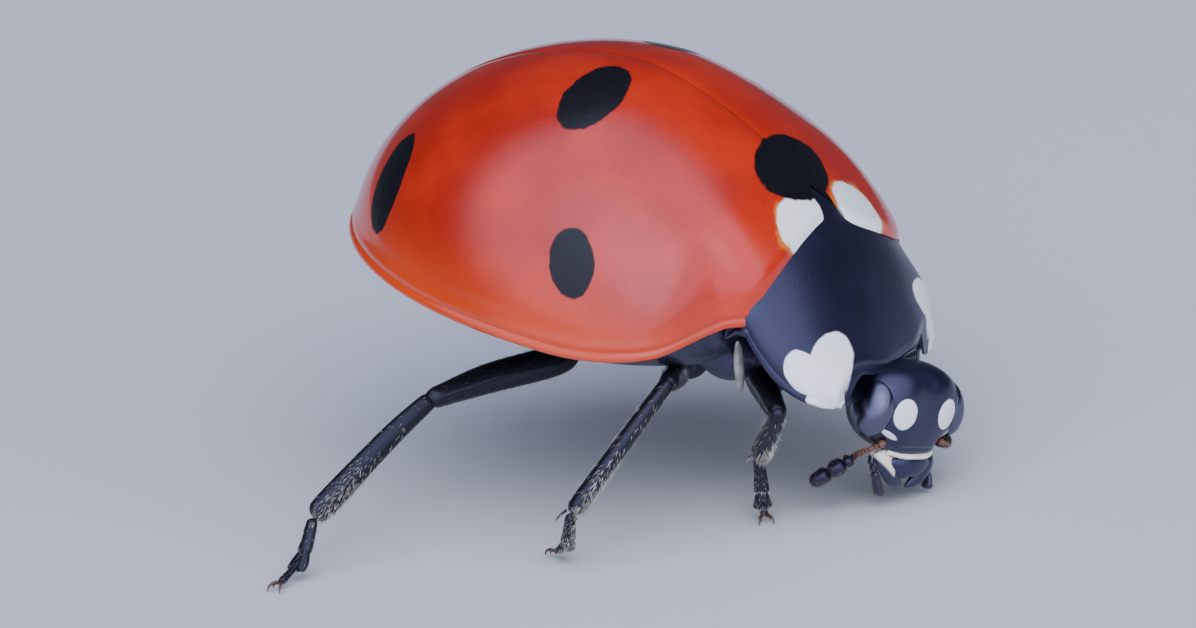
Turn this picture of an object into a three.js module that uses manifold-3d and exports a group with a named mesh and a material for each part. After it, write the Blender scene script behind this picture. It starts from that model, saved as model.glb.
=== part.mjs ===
// Seven-spot ladybird, life size, standing still with its head lowered and turned to its right.
// Millimetres, +Z up, head toward -Y, the insect's left side toward +X, feet on z = 0.
// Shapes are drawn in the body's own frame, where z = 0 is the lower edge of the wing cases,
// and one group tilts that frame nose-down and sets it on the floor.
import * as THREE from "three";
import { mergeVertices } from "three/addons/utils/BufferGeometryUtils.js";
import Module from "manifold-3d";

// ---- driving sizes ----
const PITCH = THREE.MathUtils.degToRad(12); // how far the tail is raised
const GAP = 0.03; // clearance between neighbouring pieces
const PLATE = 0.5; // thickness of the wing cases
const FLOOR_AT_HEAD = new THREE.Vector3(0, -3.69, -1.73); // a point of the floor below the mouth

const CASE = {
  halfWidth: 2.895,
  front: 2.627, // from the widest place to the front end
  rear: 3.649, // from the widest place to the rear end
  height: 2.653,
  peak: 0.416, // where the back is highest
  frontFullness: 2.94,
  rearFullness: 2.26,
  frontSlope: 1.61,
  rearSlope: 1.85,
  shoulderLift: 0.775, // the lower edge rises this far toward the shoulder
  tailLift: 0.037,
};

const SHIELD = {
  hindY: -2.16,
  hindHalfWidth: 1.83,
  hindTop: 1.49,
  cornerY: -2.14,
  cornerZ: 0.44,
  frontCornerY: -3.36,
  frontCornerZ: -0.3,
  frontTopY: -3.35,
  frontTopZ: -0.03,
  frontNarrowing: 0.29,
  bulge: 0.16,
  plate: 0.4,
};

const HEAD = {
  centre: new THREE.Vector3(-0.05, -3.485, -0.635),
  left: new THREE.Vector3(0.898, -0.401, -0.181), // toward the left eye
  face: new THREE.Vector3(-0.4084, -0.9133, -0.008), // the way the face looks
  halfWidth: 0.69,
  depthFront: 0.44,
  depthBack: 0.6,
  halfHeight: 0.52,
};

// The small pieces of the head: half sizes, and centres as (left, face, up) from the head's centre.
const FACE = {
  eye: { half: [0.23, 0.27, 0.34], at: [0.56, 0.13, 0.04] },
  labrum: { half: [0.33, 0.2, 0.17], at: [0, 0.28, -0.57] },
  jaws: { half: [0.3, 0.24, 0.24], at: [0, 0.14, -0.76] },
  palp: { half: [0.22, 0.2, 0.3], at: [0.42, 0.02, -0.68] },
  antennaStart: [0.47, 0.3, -0.3],
  antennaEnd: [0.92, -0.2],
  antennaDrop: { left: -0.45, right: -0.92 }, // how high its tip ends
  antennaRadii: [0.2, 0.21, 0.24],
};

// Each leg: hip, knee and ankle in the body's frame, and where the toe stands (x, y).
// The toe's height comes from the floor.
const LEGS = {
  right_front: {
    hip: [-0.7, -1.85, -0.48],
    knee: [-1.8, -2.66, -0.41],
    ankle: [-1.36, -2.3, -1.2],
    toe: [-1.42, -2.5],
  },
  right_middle: {
    hip: [-0.8, -0.9, -0.75],
    knee: [-2.3, -1.45, -0.18],
    ankle: [-3.5, -0.955, -1.615],
    toe: [-3.19, -0.7],
  },
  right_hind: {
    hip: [-1.15, 0.5, -0.86],
    knee: [-2.6, 1.424, -1.173],
    ankle: [-4.3, 1.96, -2.27],
    toe: [-5.03, 1.93],
  },
  left_front: {
    hip: [0.7, -1.85, -0.48],
    knee: [1.75, -2.7, -0.55],
    ankle: [1.72, -2.75, -1.25],
    toe: [1.62, -3.0],
  },
  left_middle: {
    hip: [0.8, -0.9, -0.75],
    knee: [2.25, -1.3, -0.3],
    ankle: [3.3, -0.98, -1.7],
    toe: [3.75, -1.0],
  },
  left_hind: {
    hip: [1.15, 0.5, -0.86],
    knee: [2.55, 1.1, -1.0],
    ankle: [4.05, 1.5, -2.3],
    toe: [4.75, 1.7],
  },
};
const LEG_RADIUS = { femur: 0.25, tibia: 0.23, tarsus: 0.22 };
const TOE_HEIGHT = 0.15; // the toe's centre above the floor, so that its sole is a small flat

const { lerp, clamp } = THREE.MathUtils;
const vector = (list) => new THREE.Vector3(...list);

// ---- making and cutting solids ----
const kernel = await Module();
kernel.setup();

function solidFrom(geometry) {
  const plain = geometry.clone();
  plain.deleteAttribute("normal");
  plain.deleteAttribute("uv");
  const merged = mergeVertices(plain, 1e-5);
  const make = (triVerts) =>
    new kernel.Manifold(
      new kernel.Mesh({ numProp: 3, vertProperties: merged.attributes.position.array, triVerts }),
    );
  const triangles = new Uint32Array(merged.index.array);
  const solid = make(triangles);
  if (solid.volume() > 0) return solid;
  for (let i = 0; i < triangles.length; i += 3) {
    [triangles[i], triangles[i + 1]] = [triangles[i + 1], triangles[i]];
  }
  return make(triangles);
}

function geometryFrom(solid) {
  const mesh = solid.getMesh();
  const geometry = new THREE.BufferGeometry();
  geometry.setAttribute("position", new THREE.BufferAttribute(mesh.vertProperties, 3));
  geometry.setIndex(new THREE.BufferAttribute(mesh.triVerts, 1));
  geometry.computeVertexNormals();
  return geometry;
}

// A sphere whose rings are laid on sections(v, angle), v from 0 to 1, with flat ends.
function loft(around, along, section) {
  const geometry = new THREE.SphereGeometry(1, around, along + 2);
  const { position, uv } = geometry.attributes;
  const centreOf = (v) => {
    const sum = new THREE.Vector3();
    for (let i = 0; i < around; i++) sum.add(section(v, (2 * Math.PI * i) / around));
    return sum.divideScalar(around);
  };
  const ends = [centreOf(0), centreOf(1)];
  for (let i = 0; i < position.count; i++) {
    const ring = Math.round((1 - uv.getY(i)) * (along + 2));
    const angle = 2 * Math.PI * (Math.round(uv.getX(i) * around) % around) / around;
    const v = clamp((ring - 1) / along, 0, 1);
    const atEnd = ring === 0 || ring === along + 2;
    const p = atEnd ? ends[ring === 0 ? 0 : 1] : section(v, angle);
    position.setXYZ(i, p.x, p.y, p.z);
  }
  return solidFrom(geometry);
}

// An ellipsoid with its own half sizes, centre and turn.
function ellipsoid(halfSizes, centre, turn = new THREE.Quaternion(), around = 12, along = 7) {
  const geometry = new THREE.SphereGeometry(1, around, along);
  const place = new THREE.Matrix4().compose(centre, turn, halfSizes);
  return solidFrom(geometry.applyMatrix4(place));
}

// A round rod through the given places, its radius changing evenly from place to place.
function rod(places, radii, around = 10, grow = 0) {
  const curve = new THREE.CatmullRomCurve3(places, false, "centripetal");
  const steps = 2 * (places.length - 1) + 3;
  const first = places[0].clone().sub(places[1]).normalize();
  const last = places.at(-1).clone().sub(places.at(-2)).normalize();
  const side = new THREE.Vector3(0, 0, 1).cross(first);
  if (side.length() < 0.3) side.set(0, 1, 0).cross(first);
  side.normalize();
  const section = (v, angle) => {
    const capShare = 1.5 / steps;
    const inner = clamp((v - capShare) / (1 - 2 * capShare), 0, 1);
    const t = inner * (radii.length - 1);
    const k = Math.min(Math.floor(t), radii.length - 2);
    const radius = lerp(radii[k], radii[k + 1], t - k) + grow;
    const centre = curve.getPoint(inner);
    const tangent = curve.getTangent(inner);
    const across = side.clone().addScaledVector(tangent, -side.dot(tangent)).normalize();
    const up = tangent.clone().cross(across);
    let out = 1;
    if (v < capShare || v > 1 - capShare) {
      const beyond = v < capShare ? (capShare - v) / capShare : (v - 1 + capShare) / capShare;
      const turn = beyond * THREE.MathUtils.degToRad(66);
      out = Math.cos(turn);
      centre.addScaledVector(v < capShare ? first : last, Math.sin(turn) * radius);
    }
    return centre
      .addScaledVector(across, Math.cos(angle) * radius * out)
      .addScaledVector(up, Math.sin(angle) * radius * out);
  };
  return loft(around, steps, section);
}

function box(low, high) {
  const size = high.clone().sub(low);
  const geometry = new THREE.BoxGeometry(size.x, size.y, size.z);
  geometry.translate(...low.clone().add(high).multiplyScalar(0.5).toArray());
  return solidFrom(geometry);
}


// ---- the floor, seen from the body's frame ----
const floorNormal = new THREE.Vector3(0, Math.sin(PITCH), Math.cos(PITCH));
const floorLevel = floorNormal.dot(FLOOR_AT_HEAD);
const floorZ = (y, above = 0) => (floorLevel + above - floorNormal.y * y) / floorNormal.z;
const settle = new THREE.Matrix4().makeRotationX(PITCH).setPosition(0, 0, -floorLevel);
const unsettle = settle.clone().invert();
const belowFloor = (() => {
  const slab = new THREE.BoxGeometry(16, 16, 2).translate(0, 0, -1).applyMatrix4(unsettle);
  return solidFrom(slab);
})();

// ---- wing cases ----
// Superelliptic dome: y runs from the front end to the rear end and angle from side to side.
function domeSection(v, angle, inset, floorOf) {
  const front = CASE.front - inset;
  const rear = CASE.rear - inset;
  const t = -Math.cos(Math.PI * (0.01 + 0.98 * v));
  const y = t < 0 ? t * front : t * rear;
  const edge = CASE.halfWidth - inset;
  const fullness = t < 0 ? CASE.frontFullness : CASE.rearFullness;
  const halfWidth = edge * Math.sqrt(1 - Math.abs(t) ** fullness);
  const fromPeak = y - CASE.peak;
  const reach = fromPeak < 0 ? front + CASE.peak : rear - CASE.peak;
  const slope = fromPeak < 0 ? CASE.frontSlope : CASE.rearSlope;
  const base = t < 0 ? CASE.shoulderLift * t * t : CASE.tailLift * t * t;
  const profile = Math.sqrt(Math.max(0, 1 - Math.abs(fromPeak / reach) ** slope));
  const height = (CASE.height - inset - base) * profile;
  const x = halfWidth * Math.cos(angle);
  const lift = Math.sin(angle);
  const z = lift >= 0 ? base + height * lift : floorOf(y, base, lift);
  return new THREE.Vector3(x, y, z);
}
const straightBase = (y, base) => base;
const deepBase = (y, base, lift) => base + 4 * lift;
const domeSolid = (inset, floorOf, around, along) =>
  loft(around, along, (v, angle) => domeSection(v, angle, inset, floorOf));

// ---- pronotum: a steep arched shield whose front corners reach round the head ----
function shieldSection(v, angle, inset, bottom) {
  const halfWidth = SHIELD.hindHalfWidth * (1 - SHIELD.frontNarrowing * v ** 2.6) - inset;
  const edgeY = lerp(SHIELD.cornerY, SHIELD.frontCornerY, v);
  const edgeZ = SHIELD.frontCornerZ + (SHIELD.cornerZ - SHIELD.frontCornerZ) * (1 - v) ** 2.2;
  const topY = lerp(SHIELD.hindY, SHIELD.frontTopY, v);
  const straightTop = lerp(SHIELD.hindTop, SHIELD.frontTopZ, v);
  const topZ = straightTop + SHIELD.bulge * 4 * v * (1 - v) - inset;
  const lift = Math.sin(angle);
  const x = halfWidth * Math.cos(angle);
  if (lift < 0) return new THREE.Vector3(x, edgeY, edgeZ + bottom(v, edgeZ) * -lift);
  return new THREE.Vector3(x, lerp(edgeY, topY, lift), lerp(edgeZ, topZ, lift));
}
const shieldSolid = (inset, bottom, around, along) =>
  loft(around, along, (v, angle) => shieldSection(v, angle, inset, bottom));
const shieldOuter = shieldSolid(0, () => 0, 22, 7);
const shieldRoom = shieldSolid(-GAP, () => 0, 22, 7);
const shieldHollow = shieldSolid(SHIELD.plate, () => -3, 16, 5);

// ---- scutellum: the small triangle between the bases of the wing cases ----
const SCUTELLUM = { halfWidth: 0.26, hindY: -1.83, baseY: -2.2 };
function scutellumPrism(grow) {
  const outline = new THREE.Shape();
  outline.moveTo(-SCUTELLUM.halfWidth - grow, SCUTELLUM.baseY - 0.4);
  outline.lineTo(SCUTELLUM.halfWidth + grow, SCUTELLUM.baseY - 0.4);
  outline.lineTo(SCUTELLUM.halfWidth + grow, SCUTELLUM.baseY);
  outline.lineTo(0, SCUTELLUM.hindY + grow);
  outline.lineTo(-SCUTELLUM.halfWidth - grow, SCUTELLUM.baseY);
  const prism = new THREE.ExtrudeGeometry(outline, { depth: 3, bevelEnabled: false });
  return solidFrom(prism);
}

// ---- head, in its own turned frame: x toward its left, y backward, z up ----
const headUp = HEAD.left.clone().cross(HEAD.face).negate().normalize();
const headTurn = new THREE.Quaternion().setFromRotationMatrix(
  new THREE.Matrix4().makeBasis(HEAD.left, HEAD.face.clone().negate(), headUp),
);
const onHead = (left, face, up) =>
  HEAD.centre
    .clone()
    .addScaledVector(HEAD.left, left)
    .addScaledVector(HEAD.face, face)
    .addScaledVector(headUp, up);

function headSolid(grow) {
  return loft(16, 9, (v, angle) => {
    const polar = Math.PI * (0.05 + 0.9 * v);
    const ring = Math.sin(polar) ** 0.85;
    const face = Math.sin(angle);
    const depth = (face > 0 ? HEAD.depthFront : HEAD.depthBack) + grow;
    return onHead(
      (HEAD.halfWidth + grow) * ring * Math.cos(angle),
      depth * ring * face,
      (HEAD.halfHeight + grow) * Math.cos(polar),
    );
  });
}
const headCore = headSolid(0);
const headRoom = headSolid(GAP);

// ---- assembling ----
const materials = {
  red: new THREE.MeshStandardMaterial({ color: 0xb8301a, roughness: 0.25, metalness: 0 }),
  black: new THREE.MeshStandardMaterial({ color: 0x0c0b12, roughness: 0.3, metalness: 0 }),
  leg: new THREE.MeshStandardMaterial({ color: 0x100f12, roughness: 0.45, metalness: 0 }),
  eye: new THREE.MeshStandardMaterial({ color: 0x15152a, roughness: 0.2, metalness: 0 }),
  belly: new THREE.MeshStandardMaterial({ color: 0x120f10, roughness: 0.5, metalness: 0 }),
};
const ladybird = new THREE.Group();
const body = new THREE.Group();
body.applyMatrix4(settle);
ladybird.add(body);

function addPart(name, solid, material) {
  const mesh = new THREE.Mesh(geometryFrom(solid), material);
  mesh.name = name;
  body.add(mesh);
}

function addWingCases() {
  const shell = domeSolid(0, straightBase, 36, 20).subtract(domeSolid(PLATE, deepBase, 24, 12));
  const suture = box(new THREE.Vector3(-GAP / 2, -4, -1), new THREE.Vector3(GAP / 2, 5, 4));
  const ahead = box(new THREE.Vector3(-4, -5, -1), new THREE.Vector3(4, SHIELD.hindY - 0.06, 4));
  const whole = shell.subtract(shieldRoom).subtract(ahead);
  const notched = whole.subtract(scutellumPrism(GAP)).subtract(suture);
  for (const half of notched.decompose()) {
    if (half.volume() < 0.1) continue;
    const { min } = half.boundingBox();
    addPart(min[0] < -1 ? "elytron_right" : "elytron_left", half, materials.red);
  }
  const triangle = domeSolid(0.02, straightBase, 36, 20)
    .intersect(scutellumPrism(0))
    .subtract(shieldRoom)
    .subtract(domeSolid(PLATE, straightBase, 24, 12));
  addPart("scutellum", biggest(triangle), materials.black);
}

const biggest = (solid) => solid.decompose().sort((a, b) => b.volume() - a.volume())[0];

const legSolids = {};
for (const [name, leg] of Object.entries(LEGS)) {
  const hip = vector(leg.hip);
  const knee = vector(leg.knee);
  const ankle = vector(leg.ankle);
  const toe = new THREE.Vector3(leg.toe[0], leg.toe[1], floorZ(leg.toe[1], TOE_HEIGHT));
  const { femur, tibia, tarsus } = LEG_RADIUS;
  const halfway = (from, to) => from.clone().lerp(to, 0.5);
  const shin = [knee, halfway(knee, ankle), ankle];
  const foot = [ankle, halfway(ankle, toe), toe];
  const tibiaAt = (grow) => rod(shin, [tibia * 0.94, tibia, tibia], 8, grow);
  const tarsusAt = (grow) => rod(foot, [tarsus * 0.95, tarsus, tarsus], 8, grow);
  const inward = hip.clone().add(new THREE.Vector3(-Math.sign(hip.x) * 0.2, 0, 0.25));
  const femurAt = (grow) => rod([inward, hip, knee], [femur * 1.05, femur * 1.1, femur * 0.92], 8, grow);
  legSolids[name] = {
    femur: femurAt(0).subtract(tibiaAt(GAP)),
    room: femurAt(GAP),
    tibia: tibiaAt(0).subtract(tarsusAt(GAP)),
    tarsus: tarsusAt(0).subtract(belowFloor),
  };
}
const legRoom = Object.values(legSolids).map((leg) => leg.room);

function addLegs() {
  for (const [name, leg] of Object.entries(legSolids)) {
    addPart("femur_" + name, biggest(leg.femur.subtract(shieldRoom)), materials.leg);
    addPart("tibia_" + name, biggest(leg.tibia), materials.leg);
    addPart("tarsus_" + name, biggest(leg.tarsus), materials.leg);
  }
}

// ---- underside: thorax and abdomen fill the room below the wing cases ----
const BELLY_DEPTH = 0.62;
const TRUNK = { frontY: -2.02, waistY: 0.78 };
const bellyBase = (y, base, lift) => {
  const along = clamp(Math.abs(y - 0.2) / 3, 0, 1);
  return base - (base * 1.1 + BELLY_DEPTH * (1 - along ** 2.5)) * Math.abs(lift) ** 0.7;
};

function addTrunk() {
  const core = domeSolid(PLATE + GAP, bellyBase, 24, 12);
  const low = (y) => new THREE.Vector3(-4, y, -3);
  const high = (y) => new THREE.Vector3(4, y, 4);
  let thorax = core.intersect(box(low(TRUNK.frontY), high(TRUNK.waistY - GAP / 2)));
  let abdomen = core.intersect(box(low(TRUNK.waistY + GAP / 2), high(5)));
  for (const room of [shieldRoom, ...legRoom]) {
    thorax = thorax.subtract(room);
    abdomen = abdomen.subtract(room);
  }
  addPart("thorax", biggest(thorax), materials.belly);
  addPart("abdomen", biggest(abdomen), materials.belly);
}

function addShield() {
  const plate = shieldOuter.subtract(shieldHollow).subtract(headRoom);
  addPart("pronotum", biggest(plate), materials.black);
  const throat = (v, edgeZ) => lerp(-0.55, -0.8, v) - edgeZ;
  let chest = shieldSolid(SHIELD.plate + GAP, throat, 16, 5).subtract(headRoom);
  chest = chest.subtract(box(new THREE.Vector3(-4, TRUNK.frontY - GAP, -3), new THREE.Vector3(4, 5, 4)));
  for (const room of legRoom) chest = chest.subtract(room);
  addPart("prosternum", biggest(chest), materials.belly);
}

// A small ellipsoid of the head, and the same grown by the clearance.
function faceSolid({ half, at }, sign, grow = 0) {
  const place = onHead(sign * at[0], at[1], at[2]);
  return ellipsoid(vector(half).addScalar(grow), place, headTurn);
}

function addHead() {
  const sides = { left: 1, right: -1 };
  let core = headCore;
  for (const [side, sign] of Object.entries(sides)) {
    addPart("eye_" + side, faceSolid(FACE.eye, sign), materials.eye);
    core = core.subtract(faceSolid(FACE.eye, sign, GAP));
  }
  addPart("head", biggest(core), materials.black);

  const labrumRoom = faceSolid(FACE.labrum, 1, GAP);
  const jawRoom = faceSolid(FACE.jaws, 1, GAP);
  const labrum = faceSolid(FACE.labrum, 1).subtract(headRoom);
  const jaws = faceSolid(FACE.jaws, 1).subtract(labrumRoom).subtract(headRoom);
  addPart("labrum", biggest(labrum), materials.black);
  addPart("mandibles", biggest(jaws), materials.black);

  for (const [side, sign] of Object.entries(sides)) {
    const palp = faceSolid(FACE.palp, sign).subtract(headRoom).subtract(jawRoom).subtract(labrumRoom);
    addPart("palp_" + side, biggest(palp), materials.black);
    const [startLeft, startFace, startUp] = FACE.antennaStart;
    const [endLeft, endFace] = FACE.antennaEnd;
    const drop = FACE.antennaDrop[side];
    const start = onHead(sign * startLeft, startFace, startUp);
    const middle = onHead(sign * 0.8, 0.02, lerp(startUp, drop, 0.55));
    const end = onHead(sign * endLeft, endFace, drop);
    let antenna = rod([start, middle, end], FACE.antennaRadii, 8);
    const palpRoom = faceSolid(FACE.palp, sign, GAP);
    const eyeRoom = faceSolid(FACE.eye, sign, GAP);
    for (const room of [headRoom, palpRoom, eyeRoom, labrumRoom]) antenna = antenna.subtract(room);
    addPart("antenna_" + side, biggest(antenna), materials.black);
  }
}

addWingCases();
addShield();
addTrunk();
addHead();
addLegs();

// ---- the origin is the middle of the model's outline, on the floor ----
const outline = new THREE.Box3().setFromObject(ladybird, true);
const middle = outline.getCenter(new THREE.Vector3());
body.position.x -= middle.x;
body.position.y -= middle.y;

export default ladybird;
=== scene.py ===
# %% [markdown]
# # A seven-spot ladybird, life size
#
# The body is about 7.4 mm long, and the spread legs span about 10 mm. Everything is modelled on
# a "bench" in millimetres, in the body's own frame: the head points toward -Y, the insect's left
# side is +X, and z = 0 is the lower edge of the wing cases. At the end of each step one function
# settles the piece: it turns it nose-down, sets it on the floor and scales it to metres, which is
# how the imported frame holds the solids. Working at bench scale keeps the numbers easy to read.

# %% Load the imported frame
import math

import bpy
import numpy as np
from mathutils import Matrix, Vector


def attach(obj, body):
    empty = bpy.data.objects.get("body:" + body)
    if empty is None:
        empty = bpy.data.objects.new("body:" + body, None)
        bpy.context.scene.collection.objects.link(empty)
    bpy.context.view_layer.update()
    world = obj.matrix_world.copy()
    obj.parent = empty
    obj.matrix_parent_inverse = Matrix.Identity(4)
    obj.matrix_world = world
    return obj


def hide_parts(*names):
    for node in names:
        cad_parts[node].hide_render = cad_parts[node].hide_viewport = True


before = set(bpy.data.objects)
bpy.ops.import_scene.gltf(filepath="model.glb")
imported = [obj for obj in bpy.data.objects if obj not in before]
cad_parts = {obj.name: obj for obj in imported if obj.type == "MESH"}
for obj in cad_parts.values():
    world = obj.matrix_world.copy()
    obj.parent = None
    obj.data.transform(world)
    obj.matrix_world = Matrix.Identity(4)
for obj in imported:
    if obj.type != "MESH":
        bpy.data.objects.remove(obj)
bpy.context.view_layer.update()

# %% The bench and how a piece leaves it
MM = 0.001
PITCH = math.radians(12)
BODY_AT = Vector((0.14055, 0.156773, 2.459389))
SETTLE = (
    Matrix.Translation(BODY_AT * MM)
    @ Matrix.Rotation(PITCH, 4, "X")
    @ Matrix.Scale(MM, 4)
)


def floor_z(y, above=0.0):
    """Height, on the bench, of a point that stands above the floor at this y."""
    return (above - BODY_AT.z - math.sin(PITCH) * y) / math.cos(PITCH)


# %% [markdown]
# ## Writing shader maths as Python
#
# A finish is a node tree. `Wire` wraps a socket so that `mask * 0.5 + 1` adds the Math nodes
# itself, and `Wiring.node` adds any other node from its type, its settings and its sockets.

# %% Wire, Wiring and Finish


def maths(operation):
    """A method that joins two values with a Math node."""

    def wired(first, second=0.0):
        return first.wiring.node("ShaderNodeMath", {"operation": operation}, {0: first, 1: second})

    return wired


class Wire:
    """One output socket; arithmetic on it adds Math nodes."""

    def __init__(self, wiring, socket):
        self.wiring, self.socket = wiring, socket

    def rise(self, low, high):
        """A smooth step from 0 at low to 1 at high; low may be the greater."""
        sockets = {"Value": self, "From Min": low, "From Max": high}
        return self.wiring.node("ShaderNodeMapRange", {"interpolation_type": "SMOOTHSTEP"}, sockets)

    __add__ = __radd__ = maths("ADD")
    __mul__ = __rmul__ = maths("MULTIPLY")
    __sub__, __pow__, __abs__ = maths("SUBTRACT"), maths("POWER"), maths("ABSOLUTE")
    sine, either, both = maths("SINE"), maths("MAXIMUM"), maths("MINIMUM")


class Wiring:
    """Adds nodes to one node tree and joins their sockets."""

    def __init__(self, tree):
        self.tree = tree

    def node(self, kind, settings=None, sockets=None, out=0):
        made = self.tree.nodes.new(kind)
        for setting, value in (settings or {}).items():
            setattr(made, setting, value)
        for socket, value in (sockets or {}).items():
            self.plug(made.inputs[socket], value)
        return Wire(self, made.outputs[out])

    def plug(self, socket, value):
        if isinstance(value, Wire):
            self.tree.links.new(value.socket, socket)
        else:
            socket.default_value = value

    def vector(self, operation, first, second, out=0):
        return self.node("ShaderNodeVectorMath", {"operation": operation}, {0: first, 1: second}, out)


class Finish(Wiring):
    """A material with one glossy shader."""

    def __init__(self, name, **sockets):
        self.material = bpy.data.materials.new(name)
        self.material.use_nodes = True
        super().__init__(self.material.node_tree)
        self.shader = self.tree.nodes["Principled BSDF"]
        self.wear(**sockets)

    def wear(self, **sockets):
        """Plugs wires or values into the shader, such as wear(Base_Color=red)."""
        for socket, value in sockets.items():
            self.plug(self.shader.inputs[socket.replace("_", " ")], value)
        return self.material

    def mix(self, amount, first, second):
        return self.node("ShaderNodeMix", {"data_type": "RGBA"}, {0: amount, 6: first, 7: second}, out=2)

    def bench(self, place=BODY_AT, turn=(PITCH, 0, 0)):
        """Where a point of the surface is, in millimetres on the bench or in a frame of its own."""
        here = self.node("ShaderNodeTexCoord", out="Object")
        placed = {"Vector": here, "Location": Vector(place) * MM, "Rotation": turn, "Scale": (MM,) * 3}
        return self.node("ShaderNodeMapping", {"vector_type": "TEXTURE"}, placed)

    def parts(self, place):
        return [self.node("ShaderNodeSeparateXYZ", {}, {0: place}, k) for k in range(3)]

    def mirrored(self, place):
        """The same place with x always on the insect's right, so that both sides match."""
        x, y, z = self.parts(place)
        return self.node("ShaderNodeCombineXYZ", {}, {0: abs(x) * -1, 1: y, 2: z})

    def oval(self, place, centre, *axes):
        """Distance from a centre in half widths: 1 on the oval's outline."""
        away = self.vector("SUBTRACT", place, centre)
        total = 0.0
        for way, half in axes:
            part = self.vector("DOT_PRODUCT", away, Vector(way).normalized() / half, out="Value")
            total = part * part + total
        return total ** 0.5

    def noise(self, place, scale, detail=2.0):
        return self.node("ShaderNodeTexNoise", {}, {"Vector": place, "Scale": scale, "Detail": detail})

    def pits(self, place, per_mm):
        """Fine round punctures: 1 between them and 0 in their middles."""
        cells = self.node("ShaderNodeTexVoronoi", {"feature": "F1"}, {"Vector": place, "Scale": per_mm})
        return cells.rise(0.0, 0.35)

    def bump(self, height, depth_mm, strength=1.0):
        sockets = {"Height": height, "Distance": depth_mm * MM, "Strength": strength}
        return self.node("ShaderNodeBump", {}, sockets)


def colour(code):
    """Linear colour of an sRGB code such as B0301A."""
    values = [int(code[i : i + 2], 16) / 255 for i in (0, 2, 4)]
    return (*(v / 12.92 if v <= 0.04045 else ((v + 0.055) / 1.055) ** 2.4 for v in values), 1.0)


# %% [markdown]
# ## Camera, light and floor
#
# A long lens far away keeps the insect's proportions, as a macro lens does. Glossy wing cases
# show each light source as a shape. So two soft boxes, high on the insect's right and ahead of
# it, give the light but are hidden from reflections, and what the wing cases mirror is one bright
# patch of overcast sky with a soft edge, in a dim room.

# %% Camera
AZIMUTH, ELEVATION, ROLL = math.radians(-61.89), math.radians(17.741), math.radians(-4.51)
CAMERA_FROM_BODY = Vector((-0.590, -0.4735, 130.0))
view = (
    Matrix.Rotation(AZIMUTH, 4, "Z")
    @ Matrix.Rotation(math.pi / 2 - ELEVATION, 4, "X")
    @ Matrix.Rotation(ROLL, 4, "Z")
)
bpy.ops.object.camera_add()
camera = bpy.context.object
camera.matrix_world = Matrix.Translation((BODY_AT + view @ CAMERA_FROM_BODY) * MM) @ view
camera.data.lens, camera.data.sensor_width = 329.7, 36
camera.data.clip_start, camera.data.clip_end = 0.002, 2
bpy.context.scene.camera = camera

# %% Soft boxes
# the boxes look at the insect; each has a place and a size in millimetres, watts and a tint
INSECT = Vector((0, 0, 2))
SOFT_BOXES = {
    "key_box": ((-34, -22, 33), (34, 34), 0.010, (1.0, 0.94, 0.84)),
    "front_box": ((-10, -46, 22), (26, 20), 0.0030, (1.0, 0.96, 0.90)),
}
for name, (place, size, power, tint) in SOFT_BOXES.items():
    bpy.ops.object.light_add(type="AREA")
    box = bpy.context.object
    box.name, box.visible_glossy = name, False
    box.data.shape, box.data.size, box.data.size_y = "RECTANGLE", size[0] * MM, size[1] * MM
    box.data.energy, box.data.color = power, tint
    turn = (INSECT - Vector(place)).to_track_quat("-Z", "Y").to_matrix().to_4x4()
    box.matrix_world = Matrix.Translation(Vector(place) * MM) @ turn

# %% Sky
SKY_WAY = Vector((-0.65, -0.36, 0.67)).normalized()
SKY_TINT = (0.66, 0.72, 1.0, 1)
ROOM_STRENGTH, PATCH_STRENGTH, CORE_STRENGTH = 0.10, 2.05, 1.5
world = bpy.data.worlds.new("studio")
bpy.context.scene.world = world
world.use_nodes = True
sky = Wiring(world.node_tree)
# 1 toward the middle of the patch, less to all sides of it
toward = sky.vector("DOT_PRODUCT", sky.node("ShaderNodeTexCoord", out="Generated"), SKY_WAY, "Value")
patch, core = toward.rise(0.29, 0.60), toward.rise(0.80, 0.99)
strength = patch * PATCH_STRENGTH + core * CORE_STRENGTH + ROOM_STRENGTH
background = world.node_tree.nodes["Background"]
sky.plug(background.inputs["Color"], SKY_TINT)
sky.plug(background.inputs["Strength"], strength)

# %% Floor
bpy.ops.mesh.primitive_plane_add(size=0.6)
floor = bpy.context.object
floor.name = "floor"
floor_paint = Finish("studio_floor", Base_Color=(0.56, 0.57, 0.58, 1), Roughness=0.7)
floor.data.materials.append(floor_paint.material)

# %% [markdown]
# ## Laying a grid on a form
#
# Beetle plates are smooth, doubly curved shells. One way is to push a cage about by hand, but
# two halves must match to a few hundredths of a millimetre, so each shell is a plane grid whose
# points are laid on a short formula; the grid keeps its own UV map, which later tells the
# finish and the hairs where they are on the plate.

# %% Modelling helpers
SIDES = {-1: "right", 1: "left"}
# the sharpest bend, in degrees, that a piece is shaded smoothly across
SHELL_CREASE, CREASE, EYE_CREASE = 38, 60, 80


def pick(piece):
    """Selects one piece and nothing else."""
    bpy.ops.object.select_all(action="DESELECT")
    piece.select_set(True)
    bpy.context.view_layer.objects.active = piece
    return piece


def named(name):
    """Names the piece that has just been added."""
    piece = bpy.context.object
    piece.name = piece.data.name = name
    return piece


def new_grid(name, across, along):
    bpy.ops.mesh.primitive_grid_add(x_subdivisions=across, y_subdivisions=along, size=2)
    return named(name)


def new_ball(name, place=(0, 0, 0), half=(1, 1, 1), turn=(0, 0, 0), segments=32, rings=20):
    bpy.ops.mesh.primitive_uv_sphere_add(segments=segments, ring_count=rings, location=place, rotation=turn)
    piece = named(name)
    piece.scale = half
    bpy.ops.object.transform_apply(location=True, rotation=True, scale=True)
    return piece


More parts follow.
